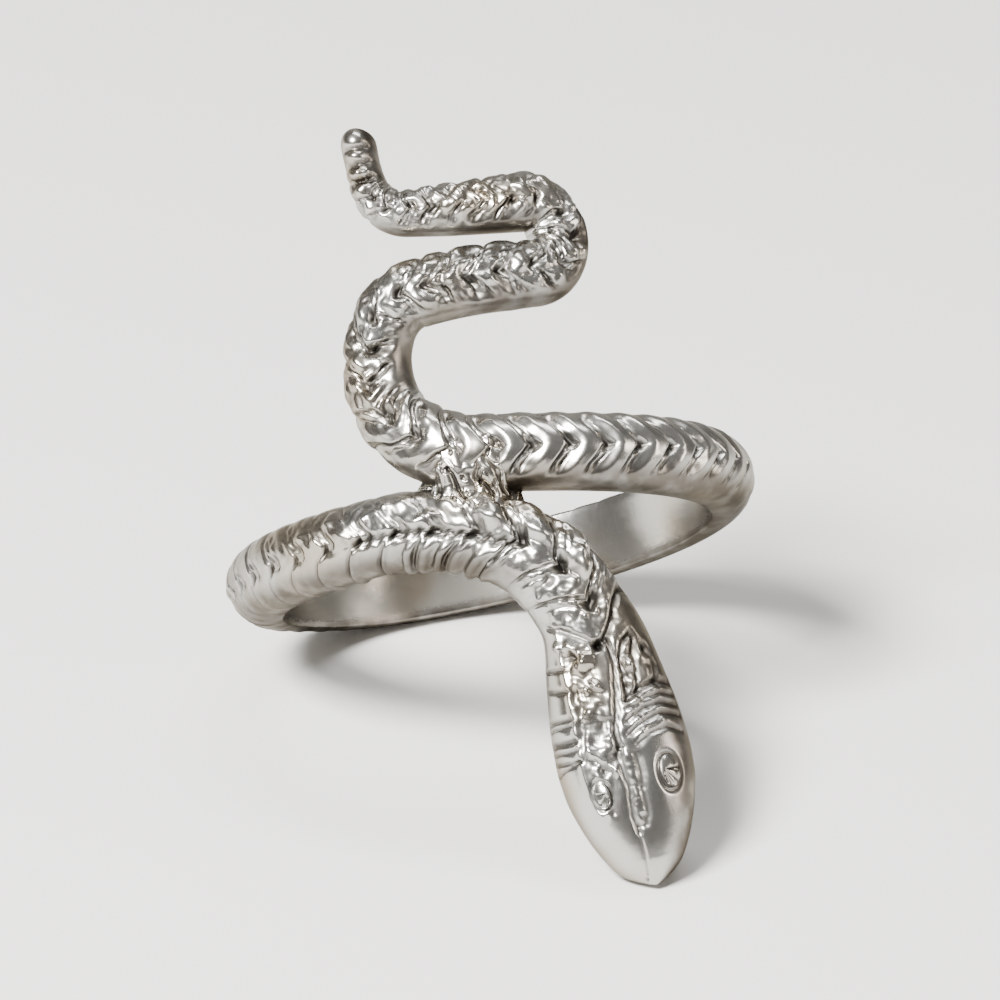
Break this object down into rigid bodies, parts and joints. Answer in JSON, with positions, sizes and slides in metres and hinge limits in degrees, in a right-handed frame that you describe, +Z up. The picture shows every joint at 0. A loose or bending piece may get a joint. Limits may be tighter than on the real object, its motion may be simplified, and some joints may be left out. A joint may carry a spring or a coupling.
{
  "type": "snake wrap ring",
  "caption": "Cast silver finger ring in the form of a snake that wraps once round the finger, with a leaf-shaped head below and an S-shaped tail above.",
  "frame": {"origin": "centre of the bounding box's footprint, on the surface that the ring lies on", "axes": "+Z up from that surface; -Y the side where the snake's head and tail are; +X to the right of someone who looks at that side"},
  "size_m": [0.0204, 0.0248, 0.0241],
  "materials": {
    "silver": "polished cast silver, darkened in the grooves between the scales"
  },
  "bodies": {
    "root": {"snake_ring": "silver"}
  },
  "joints": []
}
